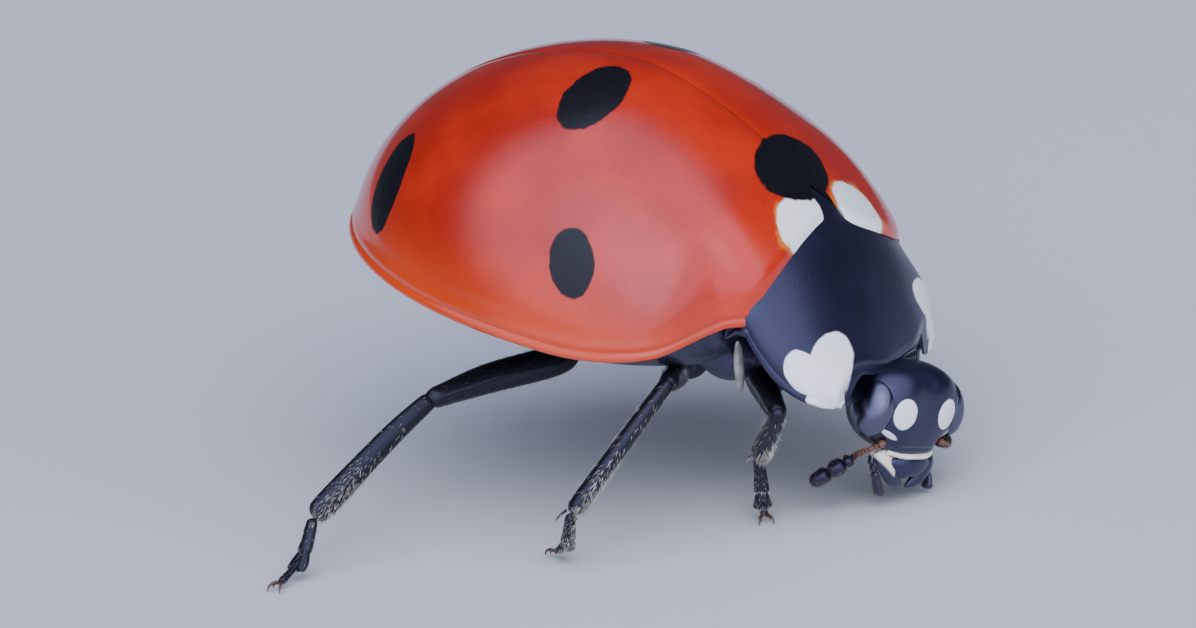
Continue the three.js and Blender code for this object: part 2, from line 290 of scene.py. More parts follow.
def spots_of(piece):
    """The places of a mesh's points."""
    flat = np.empty(len(piece.data.vertices) * 3)
    piece.data.vertices.foreach_get("co", flat)
    return flat.reshape(-1, 3)


def uv_of(piece):
    layer = piece.data.uv_layers.active.data
    flat = np.empty(len(layer) * 2)
    layer.foreach_get("uv", flat)
    return flat.reshape(-1, 2)


def set_uv(piece, uv):
    piece.data.uv_layers.active.data.foreach_set("uv", uv.ravel())


def lay(piece, rule):
    """Moves every point: rule takes and gives arrays of x, y and z."""
    x, y, z = spots_of(piece).T
    laid = np.stack([np.broadcast_to(part, x.shape) for part in rule(x, y, z)], axis=1)
    piece.data.vertices.foreach_set("co", laid.ravel())
    piece.data.update()
    return piece


def edit(piece, *steps):
    """Runs edit-mode steps on the whole piece."""
    pick(piece)
    bpy.ops.object.mode_set(mode="EDIT")
    bpy.ops.mesh.select_all(action="SELECT")
    for step in steps:
        step()
    bpy.ops.object.mode_set(mode="OBJECT")
    return piece


def weld(piece, distance=1e-4):
    """Merges doubled points, as at a pole or a seam, and turns the faces outwards."""
    return edit(
        piece,
        lambda: bpy.ops.mesh.remove_doubles(threshold=distance),
        lambda: bpy.ops.mesh.normals_make_consistent(inside=False),
    )


def modify(piece, kind, **settings):
    pick(piece)
    modifier = piece.modifiers.new(kind.title(), kind)
    for setting, value in settings.items():
        setattr(modifier, setting, value)
    bpy.ops.object.modifier_apply(modifier=modifier.name)
    return piece


def face_away(piece, centre):
    """Turns an open shell round if its faces look toward the centre on the whole."""
    middles = np.array([polygon.center for polygon in piece.data.polygons])
    looks = np.array([polygon.normal for polygon in piece.data.polygons])
    if ((middles - centre) * looks).sum() < 0:
        edit(piece, lambda: bpy.ops.mesh.flip_normals())
    return piece


def join(name, pieces):
    """Joins pieces to the first of them, which takes the name."""
    pick(pieces[0])
    for other in pieces:
        other.select_set(True)
    bpy.ops.object.join()
    pieces[0].name = pieces[0].data.name = name
    return pieces[0]


def settle(piece, finish, slot, *nodes, crease=CREASE):
    """Takes a finished piece from the bench to its place in the frame."""
    pick(piece)
    bpy.ops.object.shade_smooth_by_angle(angle=math.radians(crease))
    piece.matrix_world = SETTLE @ piece.matrix_world
    bpy.ops.object.transform_apply(location=True, rotation=True, scale=True)
    piece.data.materials.clear()
    piece.data.materials.append(finish)
    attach(piece, "root")
    if nodes:
        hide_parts(*nodes)
    print(piece.name, len(piece.data.polygons), "faces")
    return piece


# %% Steps and paths


def smooth(low, high, value):
    """A smooth step from 0 at low to 1 at high; low may be the greater."""
    part = np.clip((value - low) / (high - low), 0, 1)
    return part * part * (3 - 2 * part)


def mixed(first, second, amount):
    return first + (second - first) * amount


def smooth_path(places, count=160):
    """Points along a smooth curve through the places."""
    p = np.asarray(places, float)
    p = np.vstack([2 * p[0] - p[1], p, 2 * p[-1] - p[-2]])
    t = np.linspace(0, len(places) - 1, count)
    k = np.minimum(t.astype(int), len(places) - 2)
    f = (t - k)[:, None]
    a, b, c, d = p[k], p[k + 1], p[k + 2], p[k + 3]
    bend = (2 * a - 5 * b + 4 * c - d) * f**2
    return 0.5 * (2 * b + (c - a) * f + bend + (3 * b - a - 3 * c + d) * f**3)


def read(path, v):
    """The places on a path at v, from 0 at its start to 1 at its end."""
    stops = np.linspace(0, 1, len(path))
    return np.stack([np.interp(v, stops, column) for column in path.T], axis=1)


def units(ways):
    return ways / np.linalg.norm(ways, axis=1)[:, None]


# %% [markdown]
# ## The wing cases' form
#
# The back is a superelliptic dome. Its outline from above has a fuller front than rear, and its
# profile is highest a little behind the widest place. The bases of the wing cases follow the
# front shield, which is turned a little to the insect's right together with the head.

# %% Dome
HALF_WIDTH, FRONT, REAR, HEIGHT, PEAK = 2.895, 2.627, 3.649, 2.653, 0.416
FRONT_FULLNESS, REAR_FULLNESS, FRONT_SLOPE, REAR_SLOPE = 2.94, 2.26, 1.61, 1.85
SHOULDER_LIFT, TAIL_LIFT = 0.775, 0.037


def dome_frame(t):
    """Along t from -1, the front end, to 1, the rear end: y, half width, lower edge and height."""
    ahead = t < 0
    y = t * np.where(ahead, FRONT, REAR)
    fullness = np.where(ahead, FRONT_FULLNESS, REAR_FULLNESS)
    half = HALF_WIDTH * np.sqrt(np.clip(1 - np.abs(t) ** fullness, 0, 1))
    base = np.where(ahead, SHOULDER_LIFT, TAIL_LIFT) * t * t
    from_peak = y - PEAK
    reach = np.where(from_peak < 0, FRONT + PEAK, REAR - PEAK)
    slope = np.where(from_peak < 0, FRONT_SLOPE, REAR_SLOPE)
    profile = np.sqrt(np.clip(1 - np.abs(from_peak / reach) ** slope, 0, 1))
    return y, half, base, (HEIGHT - base) * profile


def dome_top(x, y):
    """Height of the back over a place."""
    t = np.where(y < 0, y / FRONT, y / REAR)
    _, half, base, height = dome_frame(t)
    return base + height * np.sqrt(np.clip(1 - (x / half) ** 2, 0, 1))


# %% The shield's form and the seam behind it
SHIELD_HALF, SHIELD_NARROWING, SHIELD_BULGE = 1.83, 0.29, 0.16
CORNER_Y, CORNER_Z, FRONT_CORNER_Y, FRONT_CORNER_Z = -2.14, 0.44, -3.36, -0.30
HIND_Y, HIND_TOP, FRONT_TOP_Y, FRONT_TOP_Z = -2.16, 1.49, -3.35, -0.03
# from right to left: x, and how far along the shield its hind edge lies there
HIND_PLACES = (
    (-1.95, -0.20), (-1.83, -0.12), (-1.70, -0.04), (-1.36, 0.02), (-0.72, 0.03), (-0.15, 0.03),
    (0.12, 0.07), (0.32, 0.175), (0.72, 0.275), (1.17, 0.32), (1.5, 0.25), (1.83, 0.15), (2.1, 0.1),
)
HIND_EDGE = smooth_path(HIND_PLACES, 400)


def shield_point(v, angle):
    """A place on the shield: v goes from its hind edge to its front, angle from left to right."""
    inside = np.clip(v, 0, 1)
    half = SHIELD_HALF * (1 - SHIELD_NARROWING * inside**2.6)
    edge_y = mixed(CORNER_Y, FRONT_CORNER_Y, v)
    edge_z = FRONT_CORNER_Z + (CORNER_Z - FRONT_CORNER_Z) * (1 - inside) ** 2.2
    top_y = mixed(HIND_Y, FRONT_TOP_Y, v)
    top_z = mixed(HIND_TOP, FRONT_TOP_Z, inside) + SHIELD_BULGE * 4 * inside * (1 - inside)
    lift = np.sin(angle)
    return half * np.cos(angle), mixed(edge_y, top_y, lift), mixed(edge_z, top_z, lift)


def hind_edge(x):
    return np.interp(x, HIND_EDGE[:, 0], HIND_EDGE[:, 1])


def follow_turn(x, y, z):
    """Moves what lies near the seam along with the shield's hind edge, forward and down."""
    angle = np.arccos(np.clip(x / SHIELD_HALF, -1, 1))
    _, old_y, old_z = shield_point(0.0, angle)
    _, new_y, new_z = shield_point(hind_edge(x), angle)
    near = smooth(-1.25, -2.15, y) * smooth(-3.2, -2.3, y)
    return x, y + (new_y - old_y) * near, z + (new_z - old_z) * near


# %% [markdown]
# ## Wing cases
#
# Each wing case is one stiff plate: a dome half, a narrow turned-down rim, and below it a flat
# flange that runs inwards under the edge. The grid goes across from the suture on the back to the
# rim and on along the flange, and from the base to the tip. Solidify gives the plate its
# thickness; the edges at the suture and the base are rounded over by the same formula, which
# leaves the thin dark line that parts the two cases.

# %% Wing case shells
BASE_T = -0.845
RIM_SHARE = 0.86
FLANGE, RIM_FLARE, MIDDLE_Y = 0.42, 0.036, 0.4
SUTURE = 0.005
CASE_THICK, SHIELD_THICK, SCUTELLUM_THICK = 0.06, 0.03, 0.12
SCUTELLUM_HALF, SCUTELLUM_TIP, SCUTELLUM_BASE = 0.19, -1.90, -2.2


def thicken(piece, thickness):
    """Gives a shell on the back its thickness, inwards."""
    edit(piece, lambda: bpy.ops.mesh.remove_doubles(threshold=1e-4))
    face_away(piece, (0, 0.3, 0))
    return modify(piece, "SOLIDIFY", thickness=thickness, offset=-1)


def wing_case(side):
    """side is -1 for the insect's right and 1 for its left."""

    def rule(gx, gy, gz):
        start = math.acos(-BASE_T) / math.pi
        v = start + (1 - start) * (gy + 1) / 2
        t = -np.cos(np.pi * v)
        y, half, base, height = dome_frame(t)
        across = (gx + 1) / 2
        s = np.clip(across / RIM_SHARE, 0, 1)
        s = 0.35 * s + 0.65 * np.sin(s * np.pi / 2)
        flange = np.clip((across - RIM_SHARE) / (1 - RIM_SHARE), 0, 1)
        notch = (SCUTELLUM_TIP + 0.01 - y) / (SCUTELLUM_TIP - SCUTELLUM_BASE)
        inner = SUTURE + np.clip(notch, 0, 1.2) * SCUTELLUM_HALF
        first = np.arccos(np.clip(inner / np.maximum(half, 1e-6), 0, 1))
        angle = first * (1 - s)
        x = half * np.cos(angle)
        z = base + height * np.sin(angle)
        # rounded edges at the suture and at the base, and the shoulder's low swelling
        from_suture = np.clip((x - inner) / 0.035, 0, 1)
        from_base = np.clip((y - BASE_T * FRONT) / 0.09, 0, 1)
        sink = 0.016 * (1 - np.sqrt(1 - (1 - from_suture) ** 2))
        sink = sink + 0.08 * (1 - np.sqrt(1 - (1 - from_base) ** 2))
        shoulder = np.exp(-(((x - 1.5) / 0.33) ** 2) - ((y + 1.72) / 0.34) ** 2)
        z = z - sink * np.sin(angle) + 0.03 * shoulder
        x = x - sink * np.cos(angle) + 0.03 * shoulder
        # the rim flares a little and ends in a bead, then the flange turns inwards; near the tip,
        # where the plate is narrow, all of this dies away
        tip_rim, tip_flange = np.minimum(1, half / 0.6), np.minimum(1, half / 1.2)
        on_plate = flange == 0
        low = smooth(0.40, 0.0, z - base) * on_plate
        outline = np.hypot(x, (y - MIDDLE_Y) * 0.8) + 1e-6
        flare = RIM_FLARE * low**2 * tip_rim
        rim_height = (z - base - 0.10 * tip_flange) / 0.03
        flare = flare - 0.020 * np.exp(-(rim_height**2)) * on_plate * tip_rim
        x, y = x * (1 + flare / outline), y + (y - MIDDLE_Y) * flare / outline
        inward = FLANGE * tip_flange * np.sin(flange * np.pi / 2)
        rim = RIM_FLARE * tip_rim * (flange > 0)
        x = x * (1 + (rim - inward) / outline)
        y = y + (y - MIDDLE_Y) * (rim - inward) / outline
        z = z + (0.10 * flange - 0.03 * np.sin(np.minimum(flange * 6, 1) * np.pi)) * tip_flange
        x = np.maximum(x, SUTURE)
        return follow_turn(side * x, y, z)

    piece = lay(new_grid("wing_case_" + SIDES[side], 88, 110), rule)
    return thicken(piece, CASE_THICK)


wing_cases = {side: wing_case(side) for side in SIDES}

# %% [markdown]
# ## The red finish
#
# The wing cases are orange-red under a clear glossy layer, with three black spots on each and
# one across the suture, and a white mark on each side of the little black triangle at the base.
# Every mark is an oval in bench millimetres with a slightly unsteady edge. The side and rear
# spots are drawn once and mirrored, so that the two sides match; the middle spots and the white
# marks are placed one by one, as the two sides are never quite alike. The fine punctures are bump
# only: they are 20 microns wide.

# %% Wing case finish
RED, DEEP_RED, ORANGE = colour("BE2600"), colour("A21800"), colour("D44400")
BLACK, WHITE, OCHRE = colour("0B0A10"), colour("EEF0EC"), colour("D98A2B")
# each spot: its centre, then three ways and the half size along each
MIDDLE_SPOT = (
    (-0.987, 0.523, 2.438),
    ((0.946, -0.03, 0.323), 0.645),
    ((0.03, 1, 0), 0.350),
    ((-0.32, 0, 0.95), 0.9),
)
# the left case's middle spot lies a little further out
LEFT_MIDDLE_SPOT = (
    (1.21, 0.54, 2.355),
    ((0.930, 0, -0.37), 0.60),
    ((0, 1, 0), 0.350),
    ((0.37, 0, 0.930), 0.9),
)
SIDE_SPOT = (
    (-2.617, -0.185, 1.057),
    ((0.403, 0.398, 0.824), 0.421),
    ((-0.239, 0.915, -0.325), 0.273),
    ((-0.884, -0.066, 0.464), 0.9),
)
REAR_SPOT = (
    (-1.696, 2.667, 0.956),
    ((-0.599, -0.046, -0.799), 0.629),
    ((-0.512, -0.746, 0.426), 0.310),
    ((-0.616, 0.664, 0.423), 0.9),
)
SCUTELLAR_SPOT = (
    (0.03, -1.68, 1.86),
    ((1, 0, 0), 0.73),
    ((0, -0.85, -0.52), 0.47),
    ((0, -0.52, 0.85), 0.9),
)
# seen from above: across and along only
WHITE_MARK = ((-0.57, -2.14, 0), ((1, 0, 0), 0.47), ((0, 1, 0), 0.27))
WHITE_MARK_LEFT = ((0.60, -2.31, 0), ((1, 0.1, 0), 0.42), ((-0.1, 1, 0), 0.30))
BLACK_NECK = ((0, -2.05, 0), ((1, 0, 0), 0.15), ((0, 1, 0), 0.40))


def wing_case_finish():
    paint = Finish("wing_case_red", Roughness=0.40, Coat_Roughness=0.12, Specular_IOR_Level=0.25)
    place = paint.bench()
    right = paint.mirrored(place)
    wander = paint.noise(place, 3.5, 2.0) - 0.5
    fine = paint.noise(place, 14.0, 2.0) - 0.5

    def mark(spec, edge=0.035, where=right):
        return (paint.oval(where, *spec) + wander * 0.16 + fine * 0.06).rise(1 + edge, 1 - edge)

    black = mark(MIDDLE_SPOT, where=place).either(mark(LEFT_MIDDLE_SPOT, where=place))
    black = black.either(mark(SIDE_SPOT)).either(mark(REAR_SPOT))
    black = black.either(mark(SCUTELLAR_SPOT)).either(mark(BLACK_NECK, 0.1))
    _, _, z = paint.parts(place)
    distance = paint.oval(place, *WHITE_MARK).both(paint.oval(place, *WHITE_MARK_LEFT))
    white = (distance + (wander * 0.22 + fine * 0.08)).rise(1.07, 0.93)
    fringe = (distance + wander * 0.9).rise(1.20, 1.0) * 0.5
    cloud = paint.noise(place, 0.9, 3.0)
    red = paint.mix(cloud.rise(0.35, 0.7), DEEP_RED, RED)
    red = paint.mix(z.rise(1.1, 0.05) * 0.65, red, ORANGE)
    coloured = paint.mix(fringe, red, OCHRE)
    coloured = paint.mix(white, coloured, WHITE)
    coloured = paint.mix(black, coloured, BLACK)
    relief = paint.pits(place, 11.0) * 0.6 + paint.noise(place, 5.0, 3.0) * 1.6
    # the black spots are less glossy than the red
    gloss = black * -0.75 + 1.0
    return paint.wear(Base_Color=coloured, Coat_Weight=gloss, Normal=paint.bump(relief, 0.006, 0.6))


RED_FINISH = wing_case_finish()
for side, piece in wing_cases.items():
    settle(piece, RED_FINISH, "wing_case", "elytron_" + SIDES[side], crease=SHELL_CREASE)

# %% [markdown]
# ## Scutellum
#
# The small black triangle between the bases of the wing cases. It is a grid laid on the dome
# and narrowed to a point, thickened, with its edge bevelled.

# %% Scutellum


def scutellum_rule(gx, gy, gz):
    v = (gy + 1) / 2
    y = mixed(SCUTELLUM_BASE, SCUTELLUM_TIP - 0.02, v)
    x = gx * (SCUTELLUM_HALF * (1 - v) ** 0.9 + 0.02 * (1 - v**8))
    crown = 0.02 * (1 - gx**2) * (1 - v)
    return follow_turn(x, y, dome_top(x, y) - 0.030 + crown - 0.05 * smooth(-2.08, -2.2, y))


scutellum = lay(new_grid("scutellum_plate", 14, 14), scutellum_rule)
thicken(scutellum, SCUTELLUM_THICK)
modify(scutellum, "BEVEL", width=0.018, segments=2, limit_method="ANGLE", angle_limit=math.radians(50))

# %% [markdown]
# ## Pronotum
#
# The front shield is arched over the neck; its front corners reach down beside the head and each
# carries a large white patch. The grid runs across from one side margin to the other, with a
# raised bead at each margin and a flange below, and from under the wing cases to the front
# edge. That edge is turned down round the head, and beside the head it grows into a wall that
# closes each corner lobe from the front.

# %% Pronotum shell
SIDE_SHARE = 1.13
HIND_V, FRONT_V = -0.10, 1.06
FRONT_CORNERS = 0.74


def plain_inside(piece, outer_faces):
    """Gathers the inner faces' UV places at the shield's middle, where no mark is drawn.

    Those of the front corners stay, because the corners are white right through.
    """
    first = piece.data.polygons[outer_faces].loop_start
    uv = uv_of(piece)
    inner = uv[first:]
    uv[first:] = np.where(inner[:, 1:] > FRONT_CORNERS, inner, 0.5 + (inner - 0.5) * 0.04)
    set_uv(piece, uv)


def pronotum_rule(gx, gy, gz):
    u = SIDE_SHARE * np.sin(gx * np.pi / 2)
    v = mixed(HIND_V, FRONT_V, (np.sin(gy * np.pi / 2) * 0.6 + gy * 0.4 + 1) / 2)
    within = np.clip(u, -1, 1)
    aside = np.abs(within)
    angle = np.pi / 2 * (1 - within)
    # the grid's hind end follows the seam, and its front end is cut out beside the head
    cut = 0.12 * smooth(0.15, 0.50, aside) * mixed(1, 0.5, smooth(0.75, 1.0, aside)) * smooth(0.5, 1.0, v)
    shift = hind_edge(SHIELD_HALF * np.cos(angle)) * (1 - np.clip(v, 0, 1)) ** 2
    x, y, z = shield_point(v + shift - cut, angle)
    bead = 0.030 * np.exp(-(((aside - 0.985) / 0.016) ** 2))
    bead = bead - 0.016 * np.exp(-(((aside - 0.945) / 0.022) ** 2))
    # the hind edge dips under the wing cases; the front edge turns down, and its corners are blunt
    behind = smooth(0.035, -0.10, v)
    ahead = smooth(0.985, 1.06, v)
    corner = smooth(0.72, 1.0, aside) * smooth(0.70, 1.0, v)
    bead = bead * (1 - ahead) * (1 - behind) * (1 - smooth(0.85, 1.0, v))
    # the flange under each margin is narrower and flatter toward the front corner
    under = np.clip((np.abs(u) - 1) / (SIDE_SHARE - 1), 0, 1)
    forward = smooth(0.60, 0.95, v)
    curl = mixed(0.04, 0.01, forward) * np.sin(np.minimum(under * 5, 1) * np.pi)
    x = x + np.sign(u) * (bead - mixed(0.45, 0.19, forward) * under)
    z = z + 0.5 * bead + mixed(0.10, 0.02, forward) * under - curl
    # the turned-down front edge is low over the head and a high wall beside it
    left = smooth(0.25, 1.0, within)
    high_wall = 0.40 * np.sin(angle) + 0.19 * (1 - left) * (within > 0)
    wall = mixed(0.05, high_wall, smooth(0.40, 0.62, aside))
    z = z - 0.10 * behind - wall * ahead * (1 - under)
    y, z = y + 0.05 * ahead + 0.10 * corner**2 + 0.10 * under * forward, z - 0.03 * corner
    # the shield's left front corner is drawn back and down by the turn
    x = x + 0.10 * left * smooth(0.2, 0.6, v) * smooth(1.15, 0.85, v)
    y, z = y + 0.06 * left * smooth(0.5, 1.0, v), z - 0.17 * left * smooth(0.5, 1.0, v)
    return x, y, z


pronotum = lay(new_grid("pronotum_shield", 120, 64), pronotum_rule)
face_away(pronotum, (0, -2.3, -1.0))
outer_faces = len(pronotum.data.polygons)
modify(pronotum, "SOLIDIFY", thickness=SHIELD_THICK, offset=-1)
plain_inside(pronotum, outer_faces)

# %% [markdown]
# ## The black finish
#
# Pronotum, scutellum and head are black cuticle with very fine punctures and an uneven
# surface, which spread a reflection of the sky into a soft blue-grey sheen. Part of that sheen is
# painted as well: the base colour wanders from black into a dark blue. The white patch
# on each front corner of the pronotum is drawn on its UV map, where u runs across and v along
# the shield, as a few ovals joined.

# %% Black finishes


BLUE_SHEEN = (0.62, 0.62, 1.0, 1)


def cuticle(name, rough=0.30, pits=(0.0025, 13.0), coat=0.25, tones=("030307", "0B0B22"), gloss=1.0):
    """Black cuticle, with pits of a depth and a number to the millimetre. Its default second tone, a dark
    blue, is painted sheen.
    """
    paint = Finish(name, Coat_Weight=coat, Coat_Roughness=0.12, Specular_IOR_Level=gloss)
    paint.wear(Specular_Tint=BLUE_SHEEN)
    place = paint.bench()
    cloud = paint.noise(place, 2.2, 3.0)
    # the base wanders between the two tones; the default second tone, 0B0B22, is painted sheen: a dark blue
    # that stands in for the sky's reflection
    base = paint.mix(cloud, *(colour(tone) for tone in tones))
    relief = paint.pits(place, pits[1]) + paint.noise(place, 30.0, 2.0) * 0.6
    paint.wear(Base_Color=base, Roughness=cloud * 0.14 + rough, Normal=paint.bump(relief, pits[0], 0.7))
    return paint, place, base


# each oval of the white patch: its centre, as a place along the shield and one up from the side
# margin, and its two half sizes
PATCH_OVALS = (
    ((0.80, 0.34, 0), 0.225, 0.215),
    ((0.60, 0.17, 0), 0.185, 0.125),
    ((0.90, 0.11, 0), 0.240, 0.240),
)


def pronotum_finish():
    paint, place, base = cuticle("pronotum_black_and_white", rough=0.33)
    # the place on the UV map, turned back into the shield's own v and angle
    flat = paint.node("ShaderNodeUVMap", {"uv_map": "UVMap"})
    gx, gy, _ = [(part * 2 - 1) for part in paint.parts(flat)]
    angle = (abs((gx * (math.pi / 2)).sine()) * -SIDE_SHARE + 1) * 0.9
    v = ((gy * (math.pi / 2)).sine() * 0.6 + gy * 0.4 + 1) * (0.5 * (FRONT_V - HIND_V)) + HIND_V
    spot = paint.node("ShaderNodeCombineXYZ", {}, {0: v, 1: angle})
    wander = (paint.noise(place, 4.0, 2.0) - 0.5) * 0.16
    patch = 0.0
    for centre, long, wide in PATCH_OVALS:
        piece = (paint.oval(spot, centre, ((1, 0, 0), long), ((0, 1, 0), wide)) + wander).rise(1.04, 0.96)
        patch = piece.either(patch)
    # the white ends along a line above the flange
    patch = patch * (angle + v.rise(0.78, 0.90) * 0.13).rise(-0.012, 0.002)
    return paint.wear(Base_Color=paint.mix(patch, base, WHITE))


# default tones: black wandering into a dark blue that is painted sheen
BLACK_PLATE = cuticle("black_cuticle")[0].material
settle(scutellum, BLACK_PLATE, "black_plate", "scutellum", crease=SHELL_CREASE)
settle(pronotum, pronotum_finish(), "black_plate", "pronotum", crease=SHELL_CREASE)

# %% [markdown]
# ## Body below the plates
#
# Chest and abdomen are one closed skin that fills the room under the wing cases: its back lies
# just inside them and its belly is a flattened bowl. Hips, chest, throat and flanks are modelled
# as rounded lumps and fused with it by a voxel remesh, which is how separate balls of clay become
# one body. The grooves between the belly plates are pressed in afterwards, because a remesh would
# blur them.

# %% Trunk
BODY_INSET = 0.17
BELLY_DEPTH = 0.50
TRUNK_FRONT_T = -0.80


def trunk_rule(gx, gy, gz):
    """A unit ball, its poles toward the head and the tail, laid on the trunk's sections."""
    t = mixed(TRUNK_FRONT_T, 1.0, (gz + 1) / 2)
    y, half, base, height = dome_frame(t)
    shrink = np.clip(1 - BODY_INSET / np.maximum(half, 0.2), 0.05, 1)
    ring = np.hypot(gx, gy) + 1e-9
    close = np.minimum(1, ring / 0.24)
    cos, sin = np.where(ring > 1e-6, gx / ring, 1.0), gy / ring
    x = half * shrink * cos * close
    along = np.clip(np.abs(y - 0.2) / 3, 0, 1)
    belly = base * 1.1 + BELLY_DEPTH * (1 - along**2.5)
    above = base + (height - BODY_INSET) * sin * close
    below = base - belly * np.abs(sin) ** 1.25 * close
    z = np.where(sin >= 0, np.maximum(above, base), below)
    _, turned_y, turned_z = follow_turn(x, y, z)
    upper = smooth(0.0, 0.6, z)
    return x, mixed(y, turned_y, upper) * (1 - BODY_INSET / REAR), mixed(z, turned_z, upper)


trunk = new_ball("body_underside", segments=96, rings=90)
lay(trunk, trunk_rule)
# what each lump is, with its place, half sizes, turn and the sides that have one
LUMPS = (
    ("front_hip", (0.46, -1.98, -0.52), (0.25, 0.22, 0.27), 0.15, SIDES),
    ("middle_hip", (0.62, -0.92, -0.62), (0.30, 0.26, 0.24), 0.15, SIDES),
    ("hind_hip", (0.62, 0.42, -0.66), (0.62, 0.22, 0.20), 0.15, SIDES),
    ("chest", (0, -2.32, -0.20), (0.98, 0.62, 0.46), 0, [1]),
    ("throat", (-0.02, -2.85, -0.42), (0.62, 0.55, 0.36), 0, [1]),
    ("flank", (1.30, -1.75, 0.02), (0.42, 0.42, 0.40), 0, SIDES),
)
lumps = [trunk]
for name, (x, y, z), half, turned, sides in LUMPS:
    for side in sides:
        lumps.append(new_ball(name, (side * x, y, z), half, (0, 0, side * turned)))
join("body_underside", lumps)
trunk.data.remesh_voxel_size = 0.045
pick(trunk)
bpy.ops.object.voxel_remesh()
modify(trunk, "SMOOTH", factor=0.5, iterations=3)


def press_grooves(x, y, z):
    """Grooves between the belly plates, and the chest's middle line."""
    below = smooth(-0.05, -0.25, z)
    groove = 0.0
    for middle in (0.86, 1.42, 1.88, 2.30, 2.68, 3.00):
        line = middle + 0.05 * x * x
        groove = groove + np.exp(-(((y - line) / 0.035) ** 2))
    middle_line = 0.8 * np.exp(-((x / 0.03) ** 2)) * smooth(0.75, 0.6, y) * smooth(-0.7, -0.5, y)
    return x, y, z + 0.035 * (groove * (y > 0.7) + middle_line) * below


lay(trunk, press_grooves)

# %% [markdown]
# ## Pale side plates
#
# Behind the shield's hind corner a small pale grey plate shows on each side of the chest. Each is
# a ball pressed to an almond and leaned to the flank.

# %% Side plates
ALMOND, LEAN = (0.09, 0.055, 0.40), 0.38
side_plates = join(
    "side_plates",
    [new_ball("plate", (side * 1.60, -2.01, -0.06), ALMOND, (0, side * LEAN, 0), 20, 14) for side in SIDES],
)

# %% Finishes of the underside


def clouded(name, tones, scale, detail=2.0, step=None, **sockets):
    """A finish that wanders between two tones; a step firms up its clouds."""
    paint = Finish(name, **sockets)
    cloud = paint.noise(paint.bench(), scale, detail)
    if step:
        cloud = cloud.rise(*step)
    paint.wear(Base_Color=paint.mix(cloud, *(colour(tone) for tone in tones)))
    return paint


def pale_finish(name, *tones):
    paint = clouded(name, tones, 6.0, 3.0, (0.35, 0.65), Roughness=0.42, Coat_Weight=0.3)
    return paint.wear(Normal=paint.bump(paint.noise(paint.bench(), 22.0), 0.006))


# the second tone, a dark blue 0B0B22, is painted sheen
UNDERSIDE = cuticle("underside_black", 0.42, (0.010, 9.0), 0.35, ("0A0809", "0B0B22"))[0].material
PALE = pale_finish("pale_membrane", "D9D2BE", "F2F0E6")
SIDE_GREY = pale_finish("side_plate_grey", "6E6C66", "A3A198")
settle(trunk, UNDERSIDE, "underside", "thorax", "abdomen", "prosternum")
settle(side_plates, SIDE_GREY, "underside", crease=SHELL_CREASE)

# %% [markdown]
# ## Tubes with a changing section
#
# Legs, feelers and palps are jointed tubes. Each joint is a grid rolled round a smooth path, with
# its own half sizes along the way and rounded ends. The grid's UV map stays on it, so a hair's
# root can be found again on the unwrapped skin. Joints that are joined get a strip of it each.

# %% Paths and tubes


def tube(name, places, sizes, flat, around=20, along=30):
    """sizes holds (place along, half width, half depth); flat is the way of the depth."""
    path = smooth_path(places)
    step = np.gradient(path, axis=0)
    way = units(step)
    length = np.linalg.norm(step, axis=1).sum()
    profile = smooth_path(sizes)

    def rule(gx, gy, gz):
        v = (np.sin(gy * np.pi / 2) * 0.45 + gy * 0.55 + 1) / 2
        angle = np.pi * (gx + 1)
        centre, tangent = read(path, v), read(way, v)
        wide = np.interp(v, profile[:, 0], profile[:, 1])
        deep = np.interp(v, profile[:, 0], profile[:, 2])
        end = 0.8 * min(sizes[0][1], sizes[-1][1]) / length + 0.02
        cap = np.sqrt(np.clip(1 - np.clip(1 - np.minimum(v, 1 - v) / end, 0, 1) ** 2, 0, 1))
        depth_way = units(np.array(flat) - tangent * (tangent @ np.array(flat))[:, None])
        width_way = np.cross(tangent, depth_way)
        laid = centre + width_way * (wide * cap * np.cos(angle))[:, None]
        laid = laid + depth_way * (deep * cap * np.sin(angle))[:, None]
        return laid.T

    return weld(lay(new_grid(name, around, along), rule))


def tile(piece, k, count):
    """Moves a joint's UV map to its own strip, so that joined joints don't share one place."""
    uv = uv_of(piece)
    uv[:, 0] = (uv[:, 0] * 0.96 + 0.02 + k) / count
    set_uv(piece, uv)


def join_tiled(name, joints):
    for k, joint in enumerate(joints):
        tile(joint, k, len(joints))
    return join(name, joints)


def chain(name, path, joints, flat, depth=1.0, overlap=0.012):
    """Joints along one smooth path; each is (from, to, half width at its start and at its end)."""
    route = smooth_path(path, 240)
    pieces = []
    for start, end, first, last in joints:
        stops = np.linspace(max(start - overlap, 0), min(end + overlap, 1), 5)
        middle = (first + last) / 2 * 1.06
        sizes = [(0, first, first * depth), (0.5, middle, middle * depth), (1, last, last * depth)]
        pieces.append(tube(name + "_joint", read(route, stops), sizes, flat, around=16, along=14))
    return join_tiled(name, pieces)


# %% [markdown]
# ## Head
#
# The head hangs below the shield and looks down and to the insect's right. It has a frame of
# its own: left, face and up. A ball is laid on a form that is flatter in front than behind, with
# a shallow dip down the middle of the brow, a dent for each feeler's socket and the straight edge
# of the clypeus above the mouth.

# %% Head capsule
HEAD_AT = Vector((-0.135, -3.53, -0.605))
HEAD_LEFT = Vector((0.898, -0.401, -0.181)).normalized()
HEAD_FACE = Vector((-0.4084, -0.9133, -0.008)).normalized()
HEAD_UP = HEAD_FACE.cross(HEAD_LEFT).normalized()
HEAD_TURN = Matrix((HEAD_LEFT, -HEAD_FACE, HEAD_UP)).transposed()
HEAD_WIDE, HEAD_FRONT, HEAD_BACK, HEAD_TALL = 0.730, 0.44, 0.60, 0.53


def on_head(left, face, up):
    return HEAD_AT + HEAD_LEFT * left + HEAD_FACE * face + HEAD_UP * up


def turn_with_head(piece):
    """Moves a piece modelled at the origin, x left and -y toward the face, to the head."""
    pick(piece)
    piece.matrix_world = Matrix.Translation(HEAD_AT) @ HEAD_TURN.to_4x4()
    bpy.ops.object.transform_apply(location=True, rotation=True, scale=True)
    return piece


